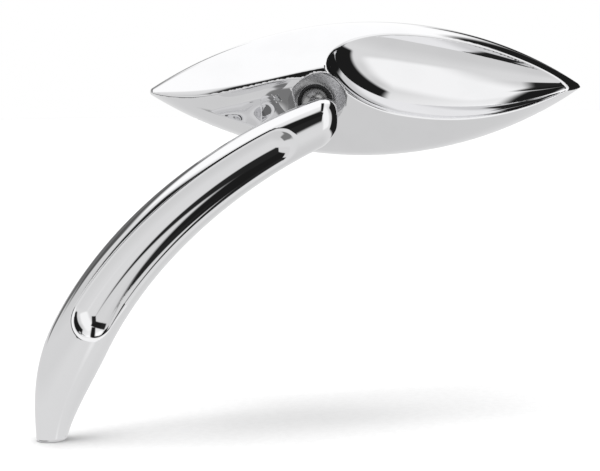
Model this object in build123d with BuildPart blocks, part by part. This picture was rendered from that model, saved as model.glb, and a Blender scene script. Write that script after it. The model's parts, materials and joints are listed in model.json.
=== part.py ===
"""Motorcycle mirror: a leaf-shaped cast head on a curved, fluted stem.

Frame: millimetres, +Z up, origin at the centre of the stem's foot face, on the axis of its tapped
hole. +X runs along the head, away from the foot. The rider's side, where the glass faces, is +Y.
"""
import os
from math import acos, cos, degrees, pi, radians, sin, sqrt

from build123d import *

# Head outline and depth
head_length = 198.4
head_height = 60.0
head_depth = 43.0
tip_height = 2.0
tip_depth = 8.0
rim_wall = 5.0
rim_chamfer = 0.7
housing_wall = 3.0

# Place of the ball centre, and of the middle of the head beside it
ball_x = 117.6
ball_z = 138.9
ball_inset = 19.0
head_shift = 29.2
head_lift = 5.7

# Keel from tip to tip
keel_lift = 0.32
keel_droop = 0.80
keel_wall = 5.4

# Cove cut under the keel's inner end: places from the middle of the leaf, and shares of the lower face
cove_start = -86.0
cove_deepest = -52.0
cove_end = -32.0
cove_ridge_start = 0.34
cove_ridge_end = 0.66
cove_least = 0.03

# How far the hollow behind the glass draws back from the cove
cavity_keel_lift = 6.0
cavity_keel_back = 12.0

# Fullness of the faces beside the keel, as shares of each face's width and rise
upper_wall_pull = 0.22
upper_keel_reach = 0.55
upper_keel_drop = 0.36
lower_wall_pull = 0.34
lower_keel_reach = 0.45
lower_keel_drop = 0.36
cove_keel_reach = -0.03
cove_keel_drop = 0.75
cove_ridge_reach = 0.10
cove_ridge_drop = 0.95

# Scoop in the outer half of the head
scoop_radius = 21.0
scoop_taper = 2.2
scoop_nose_x = 1.2
scoop_nose_z = 19.7
scoop_nose_depth = 42.8
scoop_belly_x = 37.5
scoop_belly_z = 13.2
scoop_belly_depth = 35.6
scoop_tip_x = 126.0
scoop_tip_z = 7.0
scoop_tip_depth = 13.8

# Glass and the foam tape behind it
bezel_width = 3.0
glass_recess = 0.8
glass_thickness = 3.0
glass_gap = 0.3
glass_tip_height = 1.6
cavity_tip_height = 9.2
tape_thickness = 1.0
ledge_width = 4.0

# Ball, its two seats and the socket
ball_radius = 8.0
running_fit = 0.03
seat_thickness = 1.5
seat_opening = 54.5
seat_edge = 78.0
seat_rear_opening = 30.0
throat_angle = 54.0
recess_flare = 4.5
recess_depth = 4.9

# Clamp that presses the rear seat onto the ball
plate_thickness = 2.5
plate_land = 1.6
plate_ear_radius = 3.6
plate_gap = 1.5
boss_drop = 4.5
boss_land = 4.9
screw_land = 6.0
screw_angles = (8.0, 90.0, 172.0)
screw_radius = 1.5
screw_engagement = 5.5
screw_point = 1.5
screw_head_radius = 2.9
screw_head_height = 2.0
screw_socket_radius = 1.3
screw_socket_depth = 1.2
spring_washer_height = 1.6
spring_washer_thickness = 0.6
fixed_fit = 0.02
hole_clearance = 0.1

# Ball stud
stud_lean = 15.0
stud_length = 24.0
shank_radius = 4.0
collar_radius = 5.2
collar_height = 4.0
collar_sink = 1.5
collar_clearance = 0.3
spigot_radius = 2.5
spigot_wall = 4.0

# Stem
nose_overhang = 3.7
nose_drop = 0.7
nose_angle = 20.0
nose_handle = 63.6
nose_half_width = 9.65
nose_round = 6.3
foot_lean = 5.85
foot_handle = 58.9
foot_radius = 6.25
foot_round = 1.2
stem_belly = 0.25
stem_swell = 1.2
stem_half_width = 12.75
stem_depth = 16.0
stem_taper = 1.65
thread_radius = 3.3
thread_depth = 16.0

# Flutes milled along both faces of the stem, wider and deeper towards the foot
flute_start = 0.3
flute_end = 0.855
flute_start_radius = 11.5
flute_end_radius = 9.5
flute_start_web = 5.4
flute_end_web = 7.0
flute_end_shift = -1.0

# Sections of the lofts
hull_spans = 20
cavity_spans = 14
scoop_nose_spans = 6
scoop_tail_spans = 7
scoop_tail_end = 0.97
stem_spans = 24
flute_spans = 8

os.makedirs("parts", exist_ok=True)

# Places that follow from the sizes
lean = radians(stud_lean)
ball_y = stud_length * cos(lean)
rim_y = ball_y + ball_inset
ball_centre = Vector(ball_x, ball_y, ball_z)
half_length = head_length / 2
leaf_rise = (head_height - tip_height) / 2
leaf_radius = (half_length**2 + leaf_rise**2) / (2 * leaf_rise)
cavity_inset = bezel_width + ledge_width
ledge = glass_recess + glass_thickness + tape_thickness
seat_inner = ball_radius + running_fit
seat_outer = seat_inner + seat_thickness
socket_radius = seat_outer + running_fit
throat_radius = socket_radius * sin(radians(throat_angle))
throat_rise = socket_radius * cos(radians(throat_angle))
recess_radius = throat_radius + recess_flare
boss_face = ball_inset - boss_drop
plate_face = boss_face - plate_gap
plate_rear = plate_face - plate_thickness
plate_hub_radius = socket_radius + plate_land
screw_circle = socket_radius + screw_land
screw_head_face = plate_rear - spring_washer_height
boss_radius = screw_circle + boss_land
screw_points = [
    (screw_circle * cos(radians(angle)), screw_circle * sin(radians(angle))) for angle in screw_angles
]


def mix(a, b, share):
    return a + (b - a) * share


def leaf_half_height(x):
    """Half height of the head's outline, at x from the middle: two arcs with blunt tips."""
    return head_height / 2 - leaf_radius + sqrt(leaf_radius**2 - x**2)


def leaf_reach(half_height, inset=0):
    """Distance from the middle at which the outline, moved in, has the half height."""
    return sqrt((leaf_radius - inset) ** 2 - (leaf_radius - head_height / 2 + half_height) ** 2)


def keel_depth(x):
    """Depth of the keel in front of the rim: an arc from tip to tip."""
    rise = head_depth - tip_depth
    radius = (half_length**2 + rise**2) / (2 * rise)
    return head_depth - radius + sqrt(radius**2 - x**2)


def keel_height(x):
    """Keel above the line between the tips: high in the middle, low towards both tips."""
    return leaf_half_height(x) * (keel_lift - keel_droop * (x / half_length) ** 2)


def share_between(x, start, end):
    """Share of the way from start to end, held at 0 before it and at 1 after it."""
    return min(1, max(0, (x - start) / (end - start)))


def cove_depth(x):
    """Depth of the cove, which swells from its outer end and fades to a faint edge before the socket."""
    swell = sin(share_between(x, cove_start, cove_deepest) * pi / 2) ** 2
    fade = cos(share_between(x, cove_deepest, cove_end) * pi / 2) ** 2
    return max(cove_least, swell * fade)


def cove_ridge(x):
    """Place of the cove's lower edge, as a share of the lower face."""
    return mix(cove_ridge_start, cove_ridge_end, share_between(x, cove_start, cove_deepest))


def cut_curve(points, share):
    """Control points of the two halves of a cubic curve, cut at a share of it."""
    a, b, c, d = points
    ab = mix(a, b, share)
    bc = mix(b, c, share)
    cd = mix(c, d, share)
    abc = mix(ab, bc, share)
    bcd = mix(bc, cd, share)
    middle = mix(abc, bcd, share)
    return [a, ab, abc, middle], [middle, bcd, cd, d]


def head_plane(depth, x=0, z=0):
    """Plane across the head at a depth in front of the rim: local x is +X, y is +Z."""
    return Plane((ball_x + x, rim_y - depth, ball_z + z), x_dir=(1, 0, 0), z_dir=(0, -1, 0))


def section_plane(x):
    """Plane across the leaf at x from the ball: local x is up, y the depth in front of the rim."""
    return Plane((ball_x + x, rim_y, ball_z), x_dir=(0, 0, 1), z_dir=(1, 0, 0))


def faces_to_keel(top, bottom, keel, foot, ridge, depth):
    """Control points of the upper face, of the cove's part of the lower face, and of the rest of it."""
    rise = keel.Y - foot
    upper = [
        Vector(top, foot),
        Vector(top, foot + upper_wall_pull * rise),
        Vector(mix(keel.X, top, upper_keel_reach), keel.Y - upper_keel_drop * rise),
        keel,
    ]
    lower = [
        keel,
        Vector(mix(keel.X, bottom, lower_keel_reach), keel.Y - lower_keel_drop * rise),
        Vector(bottom, foot + lower_wall_pull * rise),
        Vector(bottom, foot),
    ]
    under, wall = cut_curve(lower, ridge)
    chord = under[3] - under[0]
    steep = keel + Vector(cove_keel_reach * chord.X, cove_keel_drop * chord.Y)
    upright = keel + Vector(cove_ridge_reach * chord.X, cove_ridge_drop * chord.Y)
    under[1] = mix(under[1], steep, depth)
    under[2] = mix(under[2], upright, depth)
    return upper, under, wall


def hull_section(x):
    """Section of the head's outside, x from the middle of the leaf."""
    half = leaf_half_height(x)
    top = head_lift + half
    bottom = head_lift - half
    keel = Vector(head_lift + keel_height(x), keel_depth(x))
    with BuildSketch(section_plane(head_shift + x)) as section:
        with BuildLine():
            for points in faces_to_keel(top, bottom, keel, rim_wall, cove_ridge(x), cove_depth(x)):
                Bezier(*points)
            Polyline(
                (bottom, rim_wall),
                (bottom, rim_chamfer),
                (bottom + rim_chamfer, 0),
                (top - rim_chamfer, 0),
                (top, rim_chamfer),
                (top, rim_wall),
            )
        make_face()
    return section.sketch


def cavity_section(x):
    """Section of the hollow behind the glass, x from the middle of the leaf."""
    half = leaf_half_height(x) - cavity_inset
    top = head_lift + half
    bottom = head_lift - half
    keel = Vector(
        head_lift + keel_height(x) * half / leaf_half_height(x) + cavity_keel_lift * cove_depth(x),
        keel_depth(x) - keel_wall - cavity_keel_back * cove_depth(x),
    )
    with BuildSketch(section_plane(head_shift + x)) as section:
        with BuildLine():
            for points in faces_to_keel(top, bottom, keel, ledge, cove_ridge(x), cove_least):
                Bezier(*points)
            Polyline((bottom, ledge), (bottom, glass_recess), (top, glass_recess), (top, ledge))
        make_face()
    return section.sketch


def through_three(x, nose, belly, tip):
    """Parabola through the scoop's nose, belly and tip."""
    to_nose = x - scoop_nose_x
    to_belly = x - scoop_belly_x
    to_tip = x - scoop_tip_x
    front = scoop_belly_x - scoop_nose_x
    back = scoop_tip_x - scoop_belly_x
    whole = scoop_tip_x - scoop_nose_x
    return (
        nose * to_belly * to_tip / (front * whole)
        - belly * to_nose * to_tip / (front * back)
        + tip * to_nose * to_belly / (whole * back)
    )


def scoop_centre(x):
    """Centre of the scoop's round section at x from the ball: height and depth."""
    height = through_three(x, scoop_nose_z, scoop_belly_z, scoop_tip_z)
    depth = through_three(x, scoop_nose_depth, scoop_belly_depth, scoop_tip_depth)
    return height, depth


def scoop_circle(x, radius):
    with BuildSketch(section_plane(x)) as section:
        with Locations(scoop_centre(x)):
            Circle(radius)
    return section.sketch


def scoop_body(grow):
    """Teardrop that hollows the outer half: a round nose, a belly and a pointed tail."""
    nose_reach = scoop_belly_x - scoop_nose_x + grow
    tail_reach = scoop_tip_x - scoop_belly_x
    nose_x = scoop_belly_x - nose_reach
    sections = [Vertex(*section_plane(nose_x).from_local_coords(Vector(*scoop_centre(nose_x))))]
    for span in range(1, scoop_nose_spans + 1):
        angle = pi / 2 * span / scoop_nose_spans
        x = scoop_belly_x - nose_reach * cos(angle)
        sections.append(scoop_circle(x, (scoop_radius + grow) * sin(angle)))
    for span in range(1, scoop_tail_spans + 1):
        share = scoop_tail_end * span / scoop_tail_spans
        radius = scoop_radius * (1 - share**scoop_taper)
        sections.append(scoop_circle(scoop_belly_x + share * tail_reach, radius + grow))
    with BuildPart() as body:
        loft(sections)
    return body.part


def leaf_face(depth, inset):
    """Leaf inset from the rim, on the plane at a depth."""
    rise = head_height / 2 - inset
    tip = glass_tip_height / 2
    reach = leaf_reach(tip, inset)
    with BuildSketch(head_plane(depth, head_shift, head_lift)) as leaf:
        with BuildLine():
            ThreePointArc((-reach, tip), (0, rise), (reach, tip))
            Line((reach, tip), (reach, -tip))
            ThreePointArc((reach, -tip), (0, -rise), (-reach, -tip))
            Line((-reach, -tip), (-reach, tip))
        make_face()
    return leaf.sketch


def ring_profile(start, end):
    """Section of a seat, between two angles from the socket's axis."""
    with BuildSketch(socket_plane) as ring:
        with BuildLine():
            inner = CenterArc((0, 0), seat_inner, 90 - end, end - start)
            outer = CenterArc((0, 0), seat_outer, 90 - end, end - start)
            Line(inner @ 0, outer @ 0)
            Line(inner @ 1, outer @ 1)
        make_face()
    return ring.sketch


# Planes through the ball: local x is the radius, local y runs out of the socket or along the stud
socket_plane = Plane(ball_centre, x_dir=(1, 0, 0), z_dir=(0, 0, -1))
socket_axis = Axis(ball_centre, (0, -1, 0))
stud_direction = Vector(0, -cos(lean), -sin(lean))
stud_plane = Plane(ball_centre, x_dir=(1, 0, 0), z_dir=(0, sin(lean), -cos(lean)))
stud_axis = Axis(ball_centre, stud_direction)
collar_seat = stem_depth / 2 - collar_sink
collar_end = stud_length - collar_seat
spigot_length = collar_seat + stem_depth / 2 - spigot_wall
collar_plane = Plane(ball_centre + stud_direction * collar_end, x_dir=(1, 0, 0), z_dir=stud_direction)

# Hollow behind the glass, left solid round the socket and under the scoop
with BuildPart() as cavity:
    cavity_reach = leaf_reach(cavity_inset + cavity_tip_height / 2)
    for span in range(cavity_spans + 1):
        add(cavity_section(mix(-cavity_reach, cavity_reach, span / cavity_spans)))
    loft()
    add(scoop_body(housing_wall), mode=Mode.SUBTRACT)
    with Locations(head_plane(boss_face)):
        Cylinder(
            boss_radius, head_depth, align=(Align.CENTER, Align.CENTER, Align.MIN), mode=Mode.SUBTRACT
        )

# Housing: the cast shell
with BuildPart() as housing:
    for span in range(hull_spans + 1):
        add(hull_section(mix(-half_length, half_length, span / hull_spans)))
    loft()
    add(scoop_body(0), mode=Mode.SUBTRACT)
    add(cavity.part, mode=Mode.SUBTRACT)
    extrude(leaf_face(0, bezel_width), amount=ledge, mode=Mode.SUBTRACT)
    with BuildSketch(socket_plane):
        with BuildLine():
            seat_arc = CenterArc((0, 0), socket_radius, 0, 90 - throat_angle)
            Polyline(
                seat_arc @ 1,
                (recess_radius, throat_rise + recess_depth),
                (recess_radius, head_depth),
                (0, head_depth),
                (0, -boss_drop),
                (socket_radius, -boss_drop),
                seat_arc @ 0,
            )
        make_face()
    revolve(axis=socket_axis, mode=Mode.SUBTRACT)
    with Locations(head_plane(boss_face)):
        with Locations(*screw_points):
            Cylinder(
                screw_radius + fixed_fit,
                screw_engagement + screw_point,
                align=(Align.CENTER, Align.CENTER, Align.MIN),
                mode=Mode.SUBTRACT,
            )
housing.part.label = "housing"
export_step(housing.part, "parts/housing.step")

# Mirror glass
with BuildPart() as mirror_glass:
    extrude(leaf_face(glass_recess, bezel_width + glass_gap), amount=glass_thickness)
mirror_glass.part.label = "mirror_glass"
export_step(mirror_glass.part, "parts/mirror_glass.step")

# Foam tape that holds the glass to the ledge
with BuildPart() as foam_tape:
    tape_face = glass_recess + glass_thickness
    extrude(leaf_face(tape_face, bezel_width + glass_gap), amount=tape_thickness)
    extrude(leaf_face(tape_face, bezel_width + ledge_width), amount=tape_thickness, mode=Mode.SUBTRACT)
foam_tape.part.label = "foam_tape"
export_step(foam_tape.part, "parts/foam_tape.step")

# Front seat: the plastic ring between the ball and the housing
with BuildPart() as front_seat:
    add(ring_profile(seat_opening, seat_edge))
    revolve(axis=socket_axis)
front_seat.part.label = "front_seat"
export_step(front_seat.part, "parts/front_seat.step")

# Rear seat: the plastic ring between the ball and the clamp plate
with BuildPart() as rear_seat:
    add(ring_profile(180 - seat_edge, 180 - seat_rear_opening))
    revolve(axis=socket_axis)
rear_seat.part.label = "rear_seat"
export_step(rear_seat.part, "parts/rear_seat.step")

# Clamp plate with three ears and a dished hole
with BuildPart() as clamp_plate:
    with BuildSketch(head_plane(plate_rear)) as plate_outline:
        Circle(plate_hub_radius)
        for point in screw_points:
            with BuildLine(mode=Mode.PRIVATE) as ear:
                Line((0, 0), point)
            trace(ear.line, line_width=2 * plate_ear_radius)
            with Locations(point):
                Circle(plate_ear_radius)
        with Locations(*screw_points):
            Circle(screw_radius + hole_clearance, mode=Mode.SUBTRACT)
    extrude(amount=plate_thickness)
    with Locations(ball_centre):
        Sphere(socket_radius, mode=Mode.SUBTRACT)
clamp_plate.part.label = "clamp_plate"
export_step(clamp_plate.part, "parts/clamp_plate.step")

# Clamp screws with hexagon sockets
with BuildPart() as clamp_screws:
    with BuildSketch(head_plane(screw_head_face - screw_head_height)):
        with Locations(*screw_points):
            Circle(screw_head_radius)
            RegularPolygon(screw_socket_radius, 6, mode=Mode.SUBTRACT)
    extrude(amount=screw_socket_depth)
    with BuildSketch(head_plane(screw_head_face - screw_head_height + screw_socket_depth)):
        with Locations(*screw_points):
            Circle(screw_head_radius)
    extrude(amount=screw_head_height - screw_socket_depth)
    with BuildSketch(head_plane(screw_head_face)):
        with Locations(*screw_points):
            Circle(screw_radius)
    extrude(amount=boss_face + screw_engagement - screw_head_face)
clamp_screws.part.label = "clamp_screws"
export_step(clamp_screws.part, "parts/clamp_screws.step")

# Spring washers: one coned washer under each screw head
with BuildPart() as spring_washers:
    bore = screw_radius + hole_clearance
    cone_rise = spring_washer_height - spring_washer_thickness
    for point in screw_points:
        centre = head_plane(screw_head_face).from_local_coords(Vector(*point))
        with BuildSketch(Plane(centre, x_dir=(1, 0, 0), z_dir=(0, 0, -1))):
            with BuildLine():
                Polyline(
                    (bore, 0),
                    (screw_head_radius, cone_rise),
                    (screw_head_radius, cone_rise + spring_washer_thickness),
                    (bore, spring_washer_thickness),
                    close=True,
                )
            make_face()
        revolve(axis=Axis(centre, (0, -1, 0)))
spring_washers.part.label = "spring_washers"
export_step(spring_washers.part, "parts/spring_washers.step")

# Ball stud: ball, shank, collar and the spigot in the stem
with BuildPart() as ball_stud:
    with BuildSketch(stud_plane):
        with BuildLine():
            ball_arc = CenterArc((0, 0), ball_radius, -90, 90 + degrees(acos(shank_radius / ball_radius)))
            Polyline(
                ball_arc @ 1,
                (shank_radius, collar_end - collar_height),
                (collar_radius, collar_end - collar_height),
                (collar_radius, collar_end),
                (spigot_radius, collar_end),
                (spigot_radius, collar_end + spigot_length),
                (0, collar_end + spigot_length),
                ball_arc @ 0,
            )
        make_face()
    revolve(axis=stud_axis)
ball_stud.part.label = "ball_stud"
export_step(ball_stud.part, "parts/ball_stud.step")

# Centre line of the stem, from the foot to the nose, which passes in front of the stud's axis
stem_end = Vector(ball_x + nose_overhang, 0, ball_z - stud_length * sin(lean) - nose_drop)
foot_tangent = Vector(sin(radians(foot_lean)), 0, cos(radians(foot_lean)))
nose_tangent = Vector(cos(radians(nose_angle)), 0, sin(radians(nose_angle)))
stem_line = Edge.make_bezier(
    Vector(0, 0, 0), foot_tangent * foot_handle, stem_end - nose_tangent * nose_handle, stem_end
)


def stem_plane(share, shift=0, side=0):
    """Plane across the stem: local x is up and to the inside of the bend, y across its thickness."""
    along = stem_line.tangent_at(share, position_mode=PositionMode.PARAMETER)
    upwards = Vector(-along.Z, 0, along.X)
    origin = stem_line.position_at(share, position_mode=PositionMode.PARAMETER)
    return Plane(origin + upwards * shift + Vector(0, side, 0), x_dir=upwards, z_dir=along)


def stem_section(share):
    """Half width and half depth of the stem: round foot, a belly, then a taper to the nose."""
    swell = sin(min(1, share / stem_belly) * pi / 2) ** stem_swell
    taper = max(0, (share - stem_belly) / (1 - stem_belly)) ** stem_taper
    half_width = mix(foot_radius, stem_half_width, swell) - (stem_half_width - nose_half_width) * taper
    return half_width, mix(foot_radius, stem_depth / 2, swell)


def flute_body(side):
    """Bent round-ended cutter that lies along one face of the stem."""
    with BuildPart() as body:
        for span in range(flute_spans + 1):
            along = span / flute_spans
            radius = mix(flute_start_radius, flute_end_radius, along)
            offset = side * (mix(flute_start_web, flute_end_web, along) / 2 + radius)
            plane = stem_plane(mix(flute_start, flute_end, along), flute_end_shift * along, offset)
            with BuildSketch(plane):
                Circle(radius)
            if span in (0, flute_spans):
                with Locations(plane):
                    Sphere(radius)
        loft()
    return body.part


# Stem
with BuildPart() as stem:
    with BuildSketch(Plane.XY):
        Circle(foot_radius)
    for span in range(1, stem_spans + 1):
        share = span / stem_spans
        with BuildSketch(stem_plane(share)):
            Ellipse(*stem_section(share))
    loft()
    nose = stem.faces().filter_by(GeomType.PLANE).sort_by(Axis.X)[-1]
    fillet(nose.edges(), nose_round)
    foot = stem.faces().filter_by(GeomType.PLANE).sort_by(Axis.Z)[0]
    fillet(foot.edges(), foot_round)
    for side in (-1, 1):
        add(flute_body(side), mode=Mode.SUBTRACT)
    with Locations(collar_plane):
        Cylinder(
            spigot_radius + fixed_fit,
            spigot_length,
            align=(Align.CENTER, Align.CENTER, Align.MIN),
            mode=Mode.SUBTRACT,
        )
        Cylinder(
            collar_radius + collar_clearance,
            stud_length,
            align=(Align.CENTER, Align.CENTER, Align.MAX),
            mode=Mode.SUBTRACT,
        )
    Cylinder(
        thread_radius, thread_depth, align=(Align.CENTER, Align.CENTER, Align.MIN), mode=Mode.SUBTRACT
    )
stem.part.label = "stem"
export_step(stem.part, "parts/stem.step")
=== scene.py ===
"""Motorcycle mirror: polished meshes, finishes, studio and camera around the packed parts.

Lengths are metres in the packed frame: origin at the foot, +Z up, +X along the head, +Y to the rider.
"""
import json
import math
from functools import cache

import bpy
import numpy as np
from bpy.props import FloatProperty, FloatVectorProperty, PointerProperty
from mathutils import Matrix, Vector


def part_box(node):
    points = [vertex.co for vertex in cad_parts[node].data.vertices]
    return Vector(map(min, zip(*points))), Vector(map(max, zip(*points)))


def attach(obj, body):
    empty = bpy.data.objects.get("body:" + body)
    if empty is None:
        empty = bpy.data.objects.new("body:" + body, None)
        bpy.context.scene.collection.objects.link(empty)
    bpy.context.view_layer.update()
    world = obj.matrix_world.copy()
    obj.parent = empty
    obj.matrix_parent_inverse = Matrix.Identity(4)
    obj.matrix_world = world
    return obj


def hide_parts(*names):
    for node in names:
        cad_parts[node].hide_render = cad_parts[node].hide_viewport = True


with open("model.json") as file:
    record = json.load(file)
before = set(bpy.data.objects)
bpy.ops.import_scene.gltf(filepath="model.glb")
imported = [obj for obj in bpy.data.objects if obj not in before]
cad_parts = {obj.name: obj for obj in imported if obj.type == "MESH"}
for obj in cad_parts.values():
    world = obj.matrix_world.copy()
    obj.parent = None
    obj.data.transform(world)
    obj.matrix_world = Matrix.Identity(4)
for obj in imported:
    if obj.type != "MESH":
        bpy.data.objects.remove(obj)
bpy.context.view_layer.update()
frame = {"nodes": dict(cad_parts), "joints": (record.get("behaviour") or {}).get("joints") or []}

bl_info = {
    "name": "Motorcycle mirror",
    "version": (1, 0, 0),
    "blender": (4, 5, 0),
    "location": "3D View > Sidebar > Mirror",
    "description": "Polished meshes, finishes and a studio for a leaf-shaped motorcycle mirror",
    "category": "Object",
}

# Head: its box, its middle and the ball, as packed
head_low, head_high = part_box("housing")
HALF_LENGTH = (head_high.x - head_low.x) / 2
HALF_HEIGHT = (head_high.z - head_low.z) / 2
HEAD_DEPTH = 0.043
RIM_Y = head_high.y
LEAF_X = (head_high.x + head_low.x) / 2
LEAF_Z = (head_high.z + head_low.z) / 2
BALL = Vector(frame["joints"][0]["pos_m"])
TIP_HALF_HEIGHT = 0.001
TIP_DEPTH = 0.008
RIM_WALL = 0.005
LEAF_RISE = HALF_HEIGHT - TIP_HALF_HEIGHT
LEAF_RADIUS = (HALF_LENGTH**2 + LEAF_RISE**2) / (2 * LEAF_RISE)
KEEL_RISE = HEAD_DEPTH - TIP_DEPTH
KEEL_RADIUS = (HALF_LENGTH**2 + KEEL_RISE**2) / (2 * KEEL_RISE)

# Keel, its flat, the cove and the faces: shares of a face's width and rise, and places from the middle
KEEL_LIFT = 0.32
KEEL_DROOP = 0.80
KEEL_FLAT_ANGLE = math.radians(18)
KEEL_BROADEST = -0.010
KEEL_BROAD_REACH = 0.105
KEEL_FLAT_ROUND = 0.00055
COVE_START = -0.086
COVE_DEEPEST = -0.052
COVE_END = -0.032
COVE_RIDGE = (0.34, 0.66)
COVE_LEAST = 0.03
CAVITY_KEEL_LIFT = 0.006
CAVITY_KEEL_BACK = 0.012
UPPER_WALL_PULL = 0.22
UPPER_KEEL_REACH = 0.55
UPPER_KEEL_DROP = 0.36
LOWER_WALL_PULL = 0.34
LOWER_KEEL_REACH = 0.45
LOWER_KEEL_DROP = 0.36
COVE_REACH = (-0.03, 0.10)
COVE_DROP = (0.75, 0.95)

# Scoop: places along the head, above the ball and in front of the rim
SCOOP_RADIUS = 0.021
SCOOP_TAPER = 2.2
SCOOP_X = (0.0012, 0.0375, 0.126)
SCOOP_HEIGHT = (0.0197, 0.0132, 0.0070)
SCOOP_DEPTH = (0.0428, 0.0356, 0.0138)

# Hollow behind the glass, socket and clamp bosses
HOUSING_WALL = 0.003
KEEL_WALL = 0.0054
BEZEL_WIDTH = 0.003
CAVITY_INSET = 0.007
CAVITY_TIP_HEIGHT = 0.0092
LEDGE = 0.0048
GLASS_TIP_HALF_HEIGHT = 0.0008
SOCKET_RADIUS = 0.00956
THROAT_ANGLE = math.radians(54)
RECESS_FLARE = 0.0045
RECESS_DEPTH = 0.0049
BOSS_FACE = 0.0145
BOSS_RADIUS = 0.02046
SCREW_CIRCLE = 0.01556
SCREW_ANGLES = (8, 90, 172)
SCREW_HOLE = 0.00152
SCREW_DEPTH = 0.007

# Stem: centre line, section, flutes and bores
NOSE_POINT = (0.1213, 0.13199)
NOSE_ANGLE = math.radians(20.0)
NOSE_HANDLE = 0.0636
NOSE_FACE = (0.1233, 0.1303)
NOSE_FACE_ANGLE = math.radians(3.0)
FOOT_ANGLE = math.radians(84.15)
FOOT_HANDLE = 0.0589
FOOT_RADIUS = 0.00625
NOSE_HALF_WIDTH = 0.00965
STEM_HALF_WIDTH = 0.01275
STEM_HALF_DEPTH = 0.008
STEM_BELLY = 0.25
STEM_SWELL = 1.2
STEM_TAPER = 1.65
FLUTE_SPAN = (0.312, 0.855)
FLUTE_CRISP = 0.06
FLUTE_RADIUS = (0.0115, 0.0095)
FLUTE_WEB = (0.0054, 0.0070)
FLUTE_END_SHIFT = -0.001
THREAD_RADIUS = 0.0033
THREAD_DEPTH = 0.016
THREAD_PITCH = 0.00141
STUD_LEAN = math.radians(15)
COLLAR_BORE = 0.0055
COLLAR_END = 0.0175
SPIGOT_BORE = 0.00252
SPIGOT_END = 0.028

# Fields and meshing: how finely the surface is followed, and limits that keep a division safe
SECTION_TRIES = 13
STEM_TRIES = 41
NEAREST_STEPS = 4
LEAST_CURVING = 0.3
LEAST_SINE_SQUARED = 0.02
LEAST_STEEPNESS = 1.0
FIELD_STEP = 2e-5
CHUNK = 100000
CROSSING_STEPS = 3
LEAST_LENGTH = 1e-12
LEAST_SLOPE = 0.1
CELL_HOLD = 0.03
BOX_MARGIN = 2.3
CORNER_INSET = 0.4
SMOOTH_COSINE = 0.82
GLASS_POINTS = 90

# Finishes: the bands of a noise that become a mask, and the shares of a mixture
HAZE_BAND = (0.4, 0.7)
GRAIN_BAND = (0.38, 0.64)
PATCH_BAND = (0.35, 0.65)
PATCH_LEAST = 0.35
RING_BAND = (-0.6, 1.4)
RING_TONE = 0.2
RING_NOISE = 0.6
RING_NOISE_SCALE = 700.0
THREAD_HAZE_BAND = (0.45, 0.75)
SOCKET_EDGE = (0.97, 1.0)
SLIGHT_HAZE = 0.06
SLIGHT_WAVES = 0.02
FINE_HAZE = 9.0
THREAD_CLEARANCE = 0.0001

# Studio: floor below the foot, where a card ends, and the camera's film
FLOOR_DROP = 0.0002
FLOOR_SHADE = 0.97
CARD_HORIZON = 0.05
SENSOR_WIDTH = 36
CLIP_START = 0.01


# Fields: negative inside, positive outside, close to a distance near the surface
def mix(a, b, share):
    """Value at a share of the way from a to b."""
    return a + (b - a) * share


def rounded(a, b, radius):
    """What lies inside both fields, with a round of that radius along their edge."""
    over_a = np.maximum(a + radius, 0)
    over_b = np.maximum(b + radius, 0)
    return np.minimum(np.maximum(a, b), -radius) + np.hypot(over_a, over_b)


def round_edge(a, b, radius, lean):
    """As rounded(), with a true arc between faces whose normals have the cosine lean."""
    over_a = a + radius
    over_b = b + radius
    square = over_a**2 + over_b**2 - 2 * lean * over_a * over_b
    square = square / np.maximum(1 - lean**2, LEAST_SINE_SQUARED)
    beyond = (over_a > lean * over_b) & (over_b > lean * over_a)
    return np.where(beyond, np.sqrt(np.maximum(square, 0)) - radius, np.maximum(a, b))


def cubic(points):
    """Polynomial coefficients of a cubic curve with four control points."""
    a, b, c, d = points
    return a, 3 * (b - a), 3 * (a - 2 * b + c), d - 3 * c + 3 * b - a


def on_cubic(curve, share):
    """Place at a share of the curve."""
    return ((curve[3] * share + curve[2]) * share + curve[1]) * share + curve[0]


def run_of_cubic(curve, share):
    """Rate of change at a share of the curve."""
    return (3 * curve[3] * share + 2 * curve[2]) * share + curve[1]


def nearest_on_cubic(across, up, p, q, tries):
    """Share, offset and unit tangent of the nearest point of a plane cubic curve to each point (p, q)."""
    share = np.zeros_like(p)
    best = np.full_like(p, np.inf)
    for s in np.linspace(0, 1, tries):
        gap_p = on_cubic(across, s) - p
        gap_q = on_cubic(up, s) - q
        far = gap_p * gap_p + gap_q * gap_q
        closer = far < best
        best = np.where(closer, far, best)
        share = np.where(closer, s, share)
    for _ in range(NEAREST_STEPS):
        gap_p = on_cubic(across, share) - p
        gap_q = on_cubic(up, share) - q
        run_p = run_of_cubic(across, share)
        run_q = run_of_cubic(up, share)
        turn_p = 6 * across[3] * share + 2 * across[2]
        turn_q = 6 * up[3] * share + 2 * up[2]
        speed = run_p * run_p + run_q * run_q
        slope = np.maximum(speed + gap_p * turn_p + gap_q * turn_q, LEAST_CURVING * speed)
        share = np.clip(share - (gap_p * run_p + gap_q * run_q) / slope, 0, 1)
    gap_p = p - on_cubic(across, share)
    gap_q = q - on_cubic(up, share)
    run_p = run_of_cubic(across, share)
    run_q = run_of_cubic(up, share)
    speed = np.hypot(run_p, run_q)
    return share, gap_p, gap_q, run_p / speed, run_q / speed


def beside_curve(points, v, w):
    """Distance outside a section's curve, which goes on along its tangents past both ends."""
    across = cubic([p[0] for p in points])
    up = cubic([p[1] for p in points])
    _, gap_v, gap_w, run_v, run_w = nearest_on_cubic(across, up, v, w, SECTION_TRIES)
    return run_w * gap_v - run_v * gap_w


def leaf_half_height(x):
    """Half the leaf's height at a distance from its middle."""
    return HALF_HEIGHT - LEAF_RADIUS + np.sqrt(LEAF_RADIUS**2 - x * x)


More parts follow.
